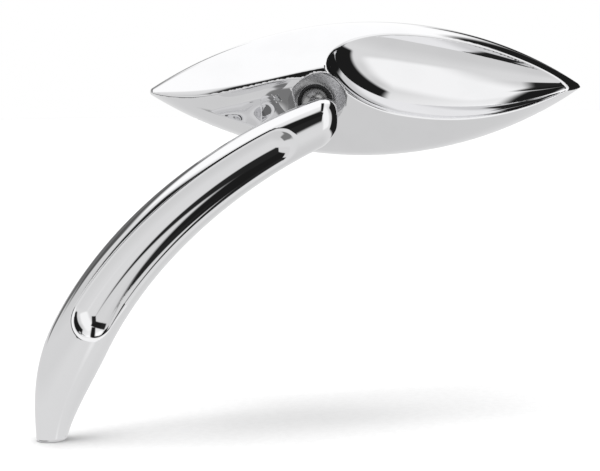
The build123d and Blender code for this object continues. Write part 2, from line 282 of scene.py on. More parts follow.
def leaf_reach(half_height, inset):
    """Distance from the middle at which the leaf, moved in, has the half height."""
    return math.sqrt((LEAF_RADIUS - inset) ** 2 - (LEAF_RADIUS - HALF_HEIGHT + half_height) ** 2)


def share_between(x, start, end):
    """Share of the way from start to end, held at 0 before it and at 1 after it."""
    return np.clip((x - start) / (end - start), 0, 1)


def cut_curve(points, share):
    """Control values of the two halves of a cubic curve, cut at a share of it."""
    a, b, c, d = points
    ab, bc, cd = mix(a, b, share), mix(b, c, share), mix(c, d, share)
    abc, bcd = mix(ab, bc, share), mix(bc, cd, share)
    middle = mix(abc, bcd, share)
    return [a, ab, abc, middle], [middle, bcd, cd, d]


def keel_section(x, v, w, inset, wall, foot, keel_round, ridge_round, keel_cut=0):
    """Inside of the head's section: two faces that meet at the keel, with the cove and the keel's flat."""
    swell = np.sin(share_between(x, COVE_START, COVE_DEEPEST) * math.pi / 2) ** 2
    fade = np.cos(share_between(x, COVE_DEEPEST, COVE_END) * math.pi / 2) ** 2
    depth = np.maximum(swell * fade, COVE_LEAST)
    half = leaf_half_height(x) - inset
    keel_v = half * (KEEL_LIFT - KEEL_DROOP * (x / HALF_LENGTH) ** 2)
    keel_w = HEAD_DEPTH - KEEL_RADIUS + np.sqrt(KEEL_RADIUS**2 - x * x) - wall
    if wall:
        keel_v = keel_v + CAVITY_KEEL_LIFT * depth
        keel_w = keel_w - CAVITY_KEEL_BACK * depth
        depth = np.full_like(x, COVE_LEAST)
    rise = keel_w - foot
    base = np.full_like(x, foot)
    upper = [
        (half, base),
        (half, foot + UPPER_WALL_PULL * rise),
        (mix(keel_v, half, UPPER_KEEL_REACH), keel_w - UPPER_KEEL_DROP * rise),
        (keel_v, keel_w),
    ]
    lower_v = [keel_v, mix(keel_v, -half, LOWER_KEEL_REACH), -half, -half]
    lower_w = [keel_w, keel_w - LOWER_KEEL_DROP * rise, foot + LOWER_WALL_PULL * rise, base]
    ridge = mix(COVE_RIDGE[0], COVE_RIDGE[1], share_between(x, COVE_START, COVE_DEEPEST))
    under_v, wall_v = cut_curve(lower_v, ridge)
    under_w, wall_w = cut_curve(lower_w, ridge)
    chord_v = under_v[3] - under_v[0]
    chord_w = under_w[3] - under_w[0]
    for k in (1, 2):
        under_v[k] = mix(under_v[k], keel_v + COVE_REACH[k - 1] * chord_v, depth)
        under_w[k] = mix(under_w[k], keel_w + COVE_DROP[k - 1] * chord_w, depth)
    lower = rounded(
        beside_curve(list(zip(under_v, under_w)), v, w),
        beside_curve(list(zip(wall_v, wall_w)), v, w),
        ridge_round * depth**2,
    )
    upper_run = keel_v - upper[2][0], keel_w - upper[2][1]
    lower_run = under_v[1] - under_v[0], under_w[1] - under_w[0]
    lean = (upper_run[0] * lower_run[0] + upper_run[1] * lower_run[1]) / (
        np.hypot(*upper_run) * np.hypot(*lower_run)
    )
    body = round_edge(beside_curve(upper, v, w), lower, keel_round, lean)
    flat = (v - keel_v) * math.sin(KEEL_FLAT_ANGLE) + (w - keel_w) * math.cos(KEEL_FLAT_ANGLE)
    return rounded(body, flat + keel_cut, KEEL_FLAT_ROUND)


def through_three(x, values):
    """Parabola through the scoop's nose, belly and tip."""
    nose, belly, tip = SCOOP_X
    front = values[0] * (x - belly) * (x - tip) / ((nose - belly) * (nose - tip))
    middle = values[1] * (x - nose) * (x - tip) / ((belly - nose) * (belly - tip))
    back = values[2] * (x - nose) * (x - belly) / ((tip - nose) * (tip - belly))
    return front + middle + back


def scoop_field(x, height, w):
    """Teardrop that hollows the outer half: a round nose, a belly and a pointed tail."""
    nose, belly, tip = SCOOP_X
    off = np.hypot(height - through_three(x, SCOOP_HEIGHT), w - through_three(x, SCOOP_DEPTH))
    round_nose = SCOOP_RADIUS * (np.hypot((x - belly) / (belly - nose), off / SCOOP_RADIUS) - 1)
    share = share_between(x, belly, tip)
    tail = off - SCOOP_RADIUS * (1 - share**SCOOP_TAPER)
    return np.where(x < belly, round_nose, tail)


def socket_field(around, rise):
    """Bore for the ball seats, and the funnel in front of it."""
    throat_rise = SOCKET_RADIUS * math.cos(THROAT_ANGLE)
    throat = SOCKET_RADIUS * math.sin(THROAT_ANGLE)
    ball_bore = np.sqrt(np.maximum(SOCKET_RADIUS**2 - np.maximum(rise, 0) ** 2, 0))
    funnel = throat + np.clip((rise - throat_rise) * RECESS_FLARE / RECESS_DEPTH, 0, RECESS_FLARE)
    return around - np.where(rise < throat_rise, ball_bore, funnel)


def head_field(settings):
    """Field of the whole housing, from the head settings."""
    cavity_reach = leaf_reach(CAVITY_INSET + CAVITY_TIP_HEIGHT / 2, 0)
    glass_reach = leaf_reach(GLASS_TIP_HALF_HEIGHT, BEZEL_WIDTH)
    screws = [
        (SCREW_CIRCLE * math.cos(math.radians(a)), SCREW_CIRCLE * math.sin(math.radians(a)))
        for a in SCREW_ANGLES
    ]

    def field(px, py, pz):
        x = px - LEAF_X
        v = pz - LEAF_Z
        w = RIM_Y - py
        from_ball = px - BALL.x
        height = pz - BALL.z
        around = np.hypot(from_ball, height)
        broad = np.clip(1 - np.abs(x - KEEL_BROADEST) / KEEL_BROAD_REACH, 0, 1)
        cut = settings.keel_flat * broad
        hull = keel_section(x, v, w, 0, 0, RIM_WALL, settings.keel_round, settings.ridge_round, cut)
        hull = rounded(hull, np.abs(x) - HALF_LENGTH, settings.rim_round)
        hull = rounded(hull, -w, settings.rim_round)
        scoop = scoop_field(from_ball, height, w)
        body = rounded(hull, -scoop, settings.lip_round)
        body = rounded(body, -socket_field(around, BALL.y - py), settings.socket_round)
        hollow = keel_section(x, v, w, CAVITY_INSET, KEEL_WALL, LEDGE, settings.cast_round, 0)
        hollow = np.maximum(hollow, np.abs(x) - cavity_reach)
        hollow = np.maximum(hollow, HOUSING_WALL - scoop)
        hollow = np.maximum(hollow, np.minimum(BOSS_RADIUS - around, w - BOSS_FACE))
        body = np.maximum(body, -hollow)
        leaf = np.hypot(x, np.abs(v) + LEAF_RADIUS - HALF_HEIGHT) - LEAF_RADIUS + BEZEL_WIDTH
        pocket = np.maximum(np.maximum(leaf, np.abs(x) - glass_reach), w - LEDGE)
        body = np.maximum(body, -pocket)
        for sx, sz in screws:
            hole = np.hypot(from_ball - sx, height - sz) - SCREW_HOLE
            body = np.maximum(body, -np.maximum(hole, w - BOSS_FACE - SCREW_DEPTH))
        return body

    return field


def stem_line():
    """Polynomials of the stem's centre line, in X and in Z."""
    nose_x, nose_z = NOSE_POINT
    across = [
        0.0,
        FOOT_HANDLE * math.cos(FOOT_ANGLE),
        nose_x - NOSE_HANDLE * math.cos(NOSE_ANGLE),
        nose_x,
    ]
    up = [
        0.0,
        FOOT_HANDLE * math.sin(FOOT_ANGLE),
        nose_z - NOSE_HANDLE * math.sin(NOSE_ANGLE),
        nose_z,
    ]
    return cubic(across), cubic(up)


def stem_field(settings):
    """Field of the stem with its two flutes and its bores, from the stem settings."""
    across, up = stem_line()
    stud = Vector((0, -math.cos(STUD_LEAN), -math.sin(STUD_LEAN)))

    def field(px, py, pz):
        share, gap_x, gap_z, run_x, run_z = nearest_on_cubic(across, up, px, pz, STEM_TRIES)
        off = run_x * gap_z - run_z * gap_x
        swell = np.sin(np.minimum(share / STEM_BELLY, 1) * math.pi / 2) ** STEM_SWELL
        taper = np.maximum((share - STEM_BELLY) / (1 - STEM_BELLY), 0) ** STEM_TAPER
        wide = mix(FOOT_RADIUS, STEM_HALF_WIDTH, swell) - (STEM_HALF_WIDTH - NOSE_HALF_WIDTH) * taper
        deep = mix(FOOT_RADIUS, STEM_HALF_DEPTH, swell)
        steep = np.hypot(off / wide**2, py / deep**2)
        body = ((off / wide) ** 2 + (py / deep) ** 2 - 1) / np.maximum(2 * steep, LEAST_STEEPNESS)
        body = rounded(body, -pz, settings.foot_round)
        past_x = (px - NOSE_FACE[0]) * math.cos(NOSE_FACE_ANGLE)
        past_z = (pz - NOSE_FACE[1]) * math.sin(NOSE_FACE_ANGLE)
        body = rounded(body, past_x + past_z, settings.nose_round)
        along = share_between(share, *FLUTE_SPAN)
        at = mix(FLUTE_SPAN[0], FLUTE_SPAN[1], along)
        tangent_x = run_of_cubic(across, at)
        tangent_z = run_of_cubic(up, at)
        shift = FLUTE_END_SHIFT * along / np.hypot(tangent_x, tangent_z)
        flute_x = on_cubic(across, at) - tangent_z * shift
        flute_z = on_cubic(up, at) + tangent_x * shift
        radius = mix(FLUTE_RADIUS[0], FLUTE_RADIUS[1], along)
        side = mix(FLUTE_WEB[0], FLUTE_WEB[1], along) / 2 + radius
        low_side = np.clip(0.5 - off / STEM_HALF_WIDTH, 0, 1)
        low_side = low_side * np.clip((share - FLUTE_SPAN[0]) / FLUTE_CRISP, 0, 1)
        edge = mix(settings.flute_top_round, settings.flute_low_round, low_side)
        flute = np.sqrt((px - flute_x) ** 2 + (pz - flute_z) ** 2 + (np.abs(py) - side) ** 2) - radius
        body = rounded(body, -flute, edge)
        ahead = (py - BALL.y) * stud.y + (pz - BALL.z) * stud.z
        beside = np.sqrt(
            (px - BALL.x) ** 2 + (py - BALL.y - ahead * stud.y) ** 2 + (pz - BALL.z - ahead * stud.z) ** 2
        )
        body = rounded(body, np.minimum(COLLAR_BORE - beside, COLLAR_END - ahead), settings.bore_round)
        body = np.maximum(body, np.minimum(SPIGOT_BORE - beside, SPIGOT_END - ahead))
        thread = np.minimum(THREAD_RADIUS - np.hypot(px, py), THREAD_DEPTH - pz)
        return rounded(body, thread, settings.bore_round)

    return field


# Meshing: one vertex in each cell that the surface crosses, and the field's own normals
def sampled(field, points):
    """The field at each point, some thousands at a time."""
    parts = [field(*points[k : k + CHUNK].T) for k in range(0, len(points), CHUNK)]
    return np.concatenate(parts)


def slopes(field, points):
    """Gradient of the field at each point."""
    found = np.empty_like(points)
    for axis in range(3):
        step = np.zeros(3)
        step[axis] = FIELD_STEP
        found[:, axis] = sampled(field, points + step) - sampled(field, points - step)
    return found / (2 * FIELD_STEP)


def unit(vectors):
    """The vectors at length 1."""
    return vectors / np.maximum(np.linalg.norm(vectors, axis=1, keepdims=True), LEAST_LENGTH)


def crossings(field, low, cell, counts):
    """Points where the grid's edges cross the surface, with the four cells round each edge."""
    axes = [low[k] + cell[k] * np.arange(counts[k] + 1) for k in range(3)]
    grid_y, grid_z = np.meshgrid(axes[1], axes[2], indexing="ij")
    values = np.stack([field(np.full_like(grid_y, x), grid_y, grid_z) for x in axes[0]])
    inside = values < 0
    steps = np.eye(3, dtype=int)
    points = []
    rings = []
    for axis in range(3):
        step, side, other = steps[axis], steps[axis - 2], steps[axis - 1]
        changed = np.diff(inside.astype(np.int8), axis=axis)
        at = np.argwhere(changed != 0)
        start = values[tuple(at.T)]
        end = values[tuple((at + step).T)]
        near = np.zeros(len(at))
        far = np.ones(len(at))
        for _ in range(CROSSING_STEPS):
            share = near + (far - near) * start / (start - end)
            here = sampled(field, low + cell * (at + step * share[:, None]))
            same = np.sign(here) == np.sign(start)
            near = np.where(same, share, near)
            start = np.where(same, here, start)
            far = np.where(same, far, share)
            end = np.where(same, end, here)
        share = near + (far - near) * start / (start - end)
        points.append(low + cell * (at + step * share[:, None]))
        ring = np.stack([at, at - side, at - side - other, at - other], 1)
        leaving = changed[tuple(at.T)] < 0
        rings.append(np.where(leaving[:, None, None], ring, ring[:, ::-1]))
    return np.concatenate(points), np.concatenate(rings)


def contour(field, low, high, cell):
    """Vertices, quads and corner normals of the field's surface inside a box."""
    counts = np.ceil((high - low) / cell).astype(int)
    points, rings = crossings(field, low, cell, counts)
    normals = unit(slopes(field, points))
    keys = np.ravel_multi_index(tuple(rings.reshape(-1, 3).T), counts)
    cells, member = np.unique(keys, return_inverse=True)
    edge = np.repeat(np.arange(len(points)), 4)
    number = np.bincount(member)
    mean = np.stack([np.bincount(member, points[edge, k]) / number for k in range(3)], 1)
    n = normals[edge]
    off = ((points[edge] - mean[member]) * n).sum(1)
    right = np.stack([np.bincount(member, n[:, k] * off) for k in range(3)], 1)
    left = np.stack(
        [[np.bincount(member, n[:, i] * n[:, j]) for j in range(3)] for i in range(3)]
    ).transpose(2, 0, 1)
    left = left + CELL_HOLD * number[:, None, None] * np.eye(3)
    shift = np.linalg.solve(left, right[:, :, None])[:, :, 0]
    corner = low + cell * np.stack(np.unravel_index(cells, counts), 1)
    vertices = np.clip(mean + shift, corner, corner + cell)
    slope = slopes(field, vertices)
    push = sampled(field, vertices) / np.maximum((slope**2).sum(1), LEAST_SLOPE)
    vertices = vertices - np.clip(push, -cell.min(), cell.min())[:, None] * slope
    quads = member.reshape(-1, 4)
    return vertices, quads, corner_normals(field, vertices, quads)


def corner_normals(field, vertices, quads):
    """The vertex's own normal where the surface is smooth, and each face's own beside a crease."""
    smooth = unit(slopes(field, vertices))[quads]
    corners = vertices[quads]
    centre = corners.mean(1, keepdims=True)
    inset = mix(corners, centre, CORNER_INSET).reshape(-1, 3)
    inner = unit(slopes(field, inset)).reshape(corners.shape)
    alike = (smooth * inner).sum(2, keepdims=True) > SMOOTH_COSINE
    return np.where(alike, smooth, inner).reshape(-1, 3)


def linked(mesh):
    """Object of the mesh, under the mesh's name, in the scene."""
    piece = bpy.data.objects.new(mesh.name, mesh)
    bpy.context.scene.collection.objects.link(piece)
    return piece


def polished_piece(name, field, low, high, cell):
    """Mesh object on the surface of a field, with the field's normals."""
    margin = BOX_MARGIN * cell
    vertices, quads, normals = contour(field, low - margin, high + margin, cell)
    mesh = bpy.data.meshes.new(name)
    mesh.from_pydata(vertices.tolist(), [], quads.tolist())
    mesh.polygons.foreach_set("use_smooth", np.ones(len(quads), bool))
    mesh.normals_split_custom_set(normals.tolist())
    return linked(mesh)


# Glass: a leaf plate with a polished bevel
def leaf_ring(inset, half_tip, y, count):
    """Points once round the leaf, moved in, at one depth."""
    radius = LEAF_RADIUS - inset
    turn = math.asin(leaf_reach(half_tip, inset) / radius)
    angles = np.linspace(-turn, turn, count)
    x = LEAF_X + radius * np.sin(angles)
    v = radius * np.cos(angles) - LEAF_RADIUS + HALF_HEIGHT
    upper = np.stack([x, np.full(count, y), LEAF_Z + v], 1)
    lower = np.stack([x[::-1], np.full(count, y), LEAF_Z - v[::-1]], 1)
    return np.concatenate([upper, lower])


def glass_piece(settings):
    """Plate of glass: silvered front and bevel (material 0), clear edge (1) and painted back (2)."""
    low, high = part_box("mirror_glass")
    inset = BEZEL_WIDTH + settings.glass_gap
    outlines = (
        (inset, low.y),
        (inset, high.y - settings.bevel_depth),
        (inset + settings.bevel_width, high.y),
    )
    rings = [leaf_ring(moved, GLASS_TIP_HALF_HEIGHT, y, GLASS_POINTS) for moved, y in outlines]
    around = 2 * GLASS_POINTS
    faces = []
    for ring in range(2):
        for k in range(around):
            after = (k + 1) % around
            start = ring * around
            faces.append((start + k, start + after, start + around + after, start + around + k))
    faces.append(tuple(range(around))[::-1])
    faces.append(tuple(range(2 * around, 3 * around)))
    mesh = bpy.data.meshes.new("bevelled_glass")
    mesh.from_pydata(np.concatenate(rings).tolist(), [], faces)
    slots = np.zeros(len(faces), int)
    slots[:around] = 1
    slots[2 * around] = 2
    mesh.polygons.foreach_set("material_index", slots)
    return linked(mesh)


# Shader nodes, and the groups of them, which are built at their first use and then shared
def node(tree, kind, inputs=(), **settings):
    """New shader node with its settings, its values and its links."""
    made = tree.nodes.new("ShaderNode" + kind)
    for key, value in settings.items():
        setattr(made, key, value)
    pairs = inputs.items() if isinstance(inputs, dict) else enumerate(inputs)
    for key, value in pairs:
        if isinstance(value, bpy.types.NodeSocket):
            tree.links.new(value, made.inputs[key])
        elif value is not None:
            made.inputs[key].default_value = value
    return made


def maths(tree, operation, *values):
    """Result of one calculation."""
    return node(tree, "Math", values, operation=operation).outputs[0]


def blended(tree, share, a, b):
    """Colour between a and b."""
    mixer = node(tree, "Mix", data_type="RGBA")
    for key, value in (("Factor_Float", share), ("A_Color", a), ("B_Color", b)):
        socket = next(s for s in mixer.inputs if s.identifier == key)
        if isinstance(value, bpy.types.NodeSocket):
            tree.links.new(value, socket)
        else:
            socket.default_value = value
    return next(s for s in mixer.outputs if s.identifier == "Result_Color")


def ranged(tree, value, low, high, to_low, to_high):
    """Value carried smoothly from one range to another."""
    return node(
        tree, "MapRange", (value, low, high, to_low, to_high), interpolation_type="SMOOTHSTEP"
    ).outputs[0]


def grey(level):
    """Opaque grey of that level."""
    return (level, level, level, 1)


def noise(tree, place, scale, detail, roughness=0.5):
    """Level of a noise at a place."""
    values = {"Vector": place, "Scale": scale, "Detail": detail, "Roughness": roughness}
    return node(tree, "TexNoise", values).outputs[0]


def surface_group(name, own=()):
    """New node group: two colours, two roughnesses, a scale and its own values in, and a surface out."""
    tree = bpy.data.node_groups.new(name, "ShaderNodeTree")
    for label in ("Colour", "Other Colour"):
        tree.interface.new_socket(label, in_out="INPUT", socket_type="NodeSocketColor")
    for label in ("Roughness", "Other Roughness", "Scale") + tuple(own):
        tree.interface.new_socket(label, in_out="INPUT", socket_type="NodeSocketFloat")
    tree.interface.new_socket("Colour", in_out="OUTPUT", socket_type="NodeSocketColor")
    tree.interface.new_socket("Roughness", in_out="OUTPUT", socket_type="NodeSocketFloat")
    tree.interface.new_socket("Height", in_out="OUTPUT", socket_type="NodeSocketFloat")
    given = tree.nodes.new("NodeGroupInput").outputs
    return tree, given, node(tree, "TexCoord").outputs["Object"]


def close_group(tree, given, share, height):
    """Ends a surface group: both colours and roughnesses mixed by share, and the height."""
    outputs = tree.nodes.new("NodeGroupOutput").inputs
    colour = blended(tree, share, given["Colour"], given["Other Colour"])
    rough = node(tree, "MapRange", (share, 0, 1, given["Roughness"], given["Other Roughness"])).outputs[0]
    for key, value in (("Colour", colour), ("Roughness", rough), ("Height", height)):
        tree.links.new(value, outputs[key])
    return tree


@cache
def polish_group():
    """Buffed plate: soft patches of haze and a very slight waviness."""
    tree, given, place = surface_group("Buffed plate")
    waves = noise(tree, place, given["Scale"], 1.0)
    haze = noise(tree, place, maths(tree, "MULTIPLY", given["Scale"], FINE_HAZE), 4.0)
    return close_group(tree, given, ranged(tree, haze, *HAZE_BAND, 0, 1), waves)


@cache
def grain_group():
    """Fine pitted grain, as on a moulding or a paint."""
    tree, given, place = surface_group("Fine grain")
    grain = noise(tree, place, given["Scale"], 5.0, 0.62)
    return close_group(tree, given, ranged(tree, grain, *GRAIN_BAND, 0, 1), grain)


@cache
def cast_group():
    """Buffed plate outside, and the grain of the casting inside the ball socket."""
    tree, given, place = surface_group("Plate and cast socket", ("Grain", "Socket"))
    x, _, z = node(tree, "SeparateXYZ", (place,)).outputs
    off_x = maths(tree, "SUBTRACT", x, BALL.x)
    off_z = maths(tree, "SUBTRACT", z, BALL.z)
    around = maths(tree, "MULTIPLY_ADD", off_x, off_x, maths(tree, "MULTIPLY", off_z, off_z))
    around = maths(tree, "DIVIDE", maths(tree, "SQRT", around), given["Socket"])
    cast = ranged(tree, around, *SOCKET_EDGE, 1, 0)
    grain = noise(tree, place, given["Grain"], 5.0, 0.65)
    haze = noise(tree, place, given["Scale"], 3.0)
    share = maths(tree, "MULTIPLY", cast, ranged(tree, grain, *PATCH_BAND, PATCH_LEAST, 1))
    share = maths(tree, "MAXIMUM", share, ranged(tree, haze, *HAZE_BAND, 0, SLIGHT_HAZE))
    height = maths(tree, "MULTIPLY_ADD", haze, SLIGHT_WAVES, maths(tree, "MULTIPLY", cast, grain))
    return close_group(tree, given, share, height)


@cache
def turned_group():
    """Lathe rings round the stud's axis, and painted shade on its ball: the ball, down in the socket, takes
    the darker colour.
    """
    tree, given, place = surface_group("Lathe rings", ("Ball",))
    centre = node(tree, "VectorMath", (place, BALL), operation="DISTANCE").outputs["Value"]
    # Painted shade: within this distance of the ball's centre the stud takes the darker colour, standing for
    # the shade inside the socket.
    ball = maths(tree, "LESS_THAN", centre, given["Ball"])
    axis = (0, math.cos(STUD_LEAN), math.sin(STUD_LEAN))
    along = node(tree, "VectorMath", (place, axis), operation="DOT_PRODUCT").outputs["Value"]
    rings = maths(tree, "SINE", maths(tree, "MULTIPLY", along, given["Scale"]))
    height = maths(tree, "MULTIPLY_ADD", noise(tree, place, RING_NOISE_SCALE, 3.0), RING_NOISE, rings)
    share = maths(tree, "MAXIMUM", ranged(tree, height, *RING_BAND, 0, RING_TONE), ball)
    return close_group(tree, given, share, height)


@cache
def spangle_group():
    """Small cells, each of its own tone: zinc crystals, or the bubbles of foam."""
    tree, given, place = surface_group("Zinc spangle")
    cells = node(tree, "TexVoronoi", {"Vector": place, "Scale": given["Scale"]})
    share = node(tree, "SeparateColor", (cells.outputs["Color"],)).outputs[0]
    return close_group(tree, given, share, cells.outputs["Distance"])


@cache
def thread_group():
    """Screw thread in the foot's bore, and buffed plate elsewhere."""
    tree, given, place = surface_group("Foot thread", ("Pitch", "Bore", "Depth"))
    x, y, z = node(tree, "SeparateXYZ", (place,)).outputs
    around = maths(tree, "DIVIDE", maths(tree, "ARCTAN2", y, x), 2 * math.pi)
    turns = maths(tree, "ADD", maths(tree, "DIVIDE", z, given["Pitch"]), around)
    ridge = maths(tree, "PINGPONG", turns, 0.5)
    radius = maths(tree, "SQRT", maths(tree, "MULTIPLY_ADD", x, x, maths(tree, "MULTIPLY", y, y)))
    inside = maths(tree, "LESS_THAN", radius, maths(tree, "ADD", given["Bore"], THREAD_CLEARANCE))
    inside = maths(tree, "MULTIPLY", inside, maths(tree, "LESS_THAN", z, given["Depth"]))
    haze = noise(tree, place, given["Scale"], 4.0)
    share = maths(tree, "MAXIMUM", ranged(tree, haze, *THREAD_HAZE_BAND, 0, SLIGHT_HAZE), inside)
    return close_group(tree, given, share, maths(tree, "MULTIPLY", ridge, inside))


def finish_material(name, group, colours, roughness, scale, bump, distance, metallic=0.0, coat=0.0, **own):
    """Material with one surface group, and the group's own values, in front of a principled shader."""
    material = bpy.data.materials.new(name)
    material.use_nodes = True
    tree = material.node_tree
    shader = tree.nodes["Principled BSDF"]
    surface = node(tree, "Group", node_tree=group)
    own["Colour"], own["Other Colour"] = [tuple(colour) + (1,) for colour in colours]
    own["Roughness"], own["Other Roughness"] = roughness
    own["Scale"] = scale
    for key, value in own.items():
        surface.inputs[key].default_value = value
    tree.links.new(surface.outputs["Colour"], shader.inputs["Base Color"])
    tree.links.new(surface.outputs["Roughness"], shader.inputs["Roughness"])
    shader.inputs["Metallic"].default_value = metallic
    shader.inputs["Coat Weight"].default_value = coat
    relief = node(tree, "Bump", {"Strength": bump, "Distance": distance, "Height": surface.outputs["Height"]})
    tree.links.new(relief.outputs[0], shader.inputs["Normal"])
    return material


def dress(piece, *materials):
    """Gives the piece these materials, in order."""
    piece.data.materials.clear()
    for material in materials:
        piece.data.materials.append(material)


# Studio: a white tent whose dark cards and soft boxes are set by direction
def direction(azimuth, elevation):
    """Unit vector: azimuth 0 is +Y, 90 is +X."""
    a, e = math.radians(azimuth), math.radians(elevation)
    return Vector((math.sin(a) * math.cos(e), math.cos(a) * math.cos(e), math.sin(e)))


def card_mask(tree, ray, azimuth, elevation, roll, half_width, half_height, soft):
    """1 inside a flat card seen in that direction, 0 outside, with soft edges."""
    facing = direction(azimuth, elevation)
    level = direction(azimuth + 90, 0)
    turn = Matrix.Rotation(math.radians(roll), 3, facing)
    across = turn @ level
    up = across.cross(facing)
    ahead = node(tree, "VectorMath", (ray, facing), operation="DOT_PRODUCT").outputs["Value"]
    mask = maths(tree, "GREATER_THAN", ahead, CARD_HORIZON)
    ahead = maths(tree, "MAXIMUM", ahead, CARD_HORIZON)
    for axis, half in ((across, half_width), (up, half_height)):
        off = node(tree, "VectorMath", (ray, axis), operation="DOT_PRODUCT").outputs["Value"]
        off = maths(tree, "ABSOLUTE", maths(tree, "DIVIDE", off, ahead))
        edge = ranged(tree, off, half - soft, half + soft, 1, 0)
        mask = maths(tree, "MULTIPLY", mask, edge)
    return mask


# Level by height in the tent, from straight down to straight up
TENT = (
    (0.0, 0.67),
    (0.10, 0.68),
    (0.24, 0.77),
    (0.42, 0.78),
    (0.5, 0.73),
    (0.62, 0.74),
    (0.74, 0.66),
    (1.0, 1.02),
)

# Cards: azimuth, elevation, roll, half width, half height, softness, level
CARDS = (
    (-20, 62, 8, 0.95, 0.92, 0.15, 1.11),
    (146, 17, 15, 0.36, 0.80, 0.14, 1.02),
    (74, 12, 0, 0.71, 0.78, 0.08, 0.013),
    (29, 20, 0, 0.11, 0.17, 0.03, 0.02),
    (-165, 34, -15, 0.42, 0.23, 0.05, 0.013),
    (180, 12, 0, 0.15, 0.26, 0.04, 0.02),
    (-134, 37, 0, 0.18, 0.22, 0.05, 0.02),
    (168, 65, -17, 0.14, 0.42, 0.05, 0.012),
    (-60, 40, -3, 0.49, 0.20, 0.09, 0.10),
    (-91, -52, -12, 0.72, 0.27, 0.08, 0.20),
    (-38, 27, -2, 0.55, 0.24, 0.05, 0.16),
)


def tent_world(settings):
    """World with the tent's levels for reflections and a plain backdrop for the camera."""
    world = bpy.data.worlds.new("white_tent")
    world.use_nodes = True
    tree = world.node_tree
    ray = node(tree, "TexCoord").outputs["Generated"]
    height = node(tree, "SeparateXYZ", (ray,)).outputs[2]
    ramp = node(tree, "ValToRGB", (maths(tree, "MULTIPLY_ADD", height, 0.5, 0.5),))
    stops = ramp.color_ramp.elements
    for place, _ in TENT[1:-1]:
        stops.new(place)
    for stop, (place, level) in zip(stops, TENT):
        stop.position = place
        stop.color = grey(level)
    colour = ramp.outputs[0]
    for card in CARDS:
        colour = blended(tree, card_mask(tree, ray, *card[:6]), colour, grey(card[6]))
    seen = node(tree, "LightPath").outputs["Is Camera Ray"]
    colour = blended(tree, seen, colour, tuple(settings.backdrop) + (1,))
    tree.links.new(colour, tree.nodes["Background"].inputs["Color"])
    return world


def floor_piece(settings):
    """Wide pale floor just under the foot, left out of the chrome's reflections."""
    half = settings.floor_half_width
    corners = [(-half, -half), (half, -half), (half, half), (-half, half)]
    mesh = bpy.data.meshes.new("floor")
    mesh.from_pydata([(x, y, -FLOOR_DROP) for x, y in corners], [], [(0, 1, 2, 3)])
    floor = linked(mesh)
    floor.visible_glossy = False
    return floor


def camera_matrix(settings):
    """Camera that looks at its target from an azimuth and an elevation, rolled about its view."""
    back = -direction(-math.degrees(settings.azimuth), -math.degrees(settings.elevation))
    right = direction(90 - math.degrees(settings.azimuth), 0)
    up = back.cross(right)
    turn = Matrix.Rotation(settings.roll, 3, back)
    right, up = turn @ right, turn @ up
    place = Vector(settings.target) + back * settings.distance
    rows = [(right[k], up[k], back[k], place[k]) for k in range(3)]
    return Matrix(rows + [(0, 0, 0, 1)])


# Settings
def length(name, description, default):
    """Setting in metres."""
    return FloatProperty(
        name=name, description=description, default=default, min=0, unit="LENGTH", precision=5
    )


def angle(name, description, degrees):
    """Setting of an angle, with its default in degrees."""
    return FloatProperty(name=name, description=description, default=math.radians(degrees), subtype="ANGLE")


def tone(name, description, default):
    """Setting of a colour."""
    return FloatVectorProperty(
        name=name, description=description, default=default, size=3, min=0, max=2, subtype="COLOR"
    )


def share_of_one(name, description, default):
    """Setting between 0 and 1."""
    return FloatProperty(name=name, description=description, default=default, min=0, max=1, subtype="FACTOR")


class HeadSettings(bpy.types.PropertyGroup):
    """Edges of the head and the fineness of its mesh."""

    keel_round: length("Keel", "Round along the keel, where its flat ends", 0.00025)
    keel_flat: length("Keel flat", "Depth of the polished flat along the keel", 0.0021)
    ridge_round: length("Cove edge", "Round along the lower edge of the cove", 0.0012)
    rim_round: length("Rim", "Round along the rim beside the glass", 0.0007)
    lip_round: length("Scoop lip", "Round along the edge of the scoop", 0.0010)
    socket_round: length("Socket edge", "Round at the mouth of the ball socket", 0.0005)
    cast_round: length("Hollow", "Round along the ridge of the hollow behind the glass", 0.0015)
    cell: FloatVectorProperty(
        name="Cell",
        description="Grid cell of the mesh along X, Y and Z",
        default=(0.0009, 0.0006, 0.0006),
        size=3,
        unit="LENGTH",
        precision=5,
    )


class StemSettings(bpy.types.PropertyGroup):
    """Edges of the stem and the fineness of its mesh."""

    foot_round: length("Foot edge", "Round at the bottom of the foot", 0.0012)
    nose_round: length("Nose", "Round at the end beside the head", 0.0078)
    flute_top_round: length("Flute, upper edge", "Round along the flute's outer edge", 0.0011)
    flute_low_round: length("Flute, lower edge", "Round along the flute's inner edge", 0.0025)
    bore_round: length("Bores", "Round at the mouths of the bores", 0.0003)
    cell: length("Cell", "Grid cell of the mesh", 0.00055)


class GlassSettings(bpy.types.PropertyGroup):
    """Glass plate."""

    glass_gap: length("Gap", "Gap between the glass and the bezel", 0.0003)
    bevel_width: length("Bevel width", "Width of the polished bevel", 0.0022)
    bevel_depth: length("Bevel depth", "Depth of the polished bevel", 0.0004)


class FinishSettings(bpy.types.PropertyGroup):
    """Finishes of the metal."""

    chrome: tone("Chrome", "Colour of the chrome plate", (0.88, 0.88, 0.89))
    chrome_haze: tone("Chrome haze", "Colour of the chrome where its polish is dull", (0.84, 0.84, 0.85))
    cast: tone("Casting", "Colour of the bare casting in the socket", (0.60, 0.60, 0.61))
    polish: share_of_one("Polish", "Roughness of the best polished plate", 0.012)
    cast_roughness: share_of_one("Casting roughness", "Roughness of the bare casting", 0.20)
    thread_roughness: share_of_one("Thread roughness", "Roughness of the thread in the foot", 0.2)


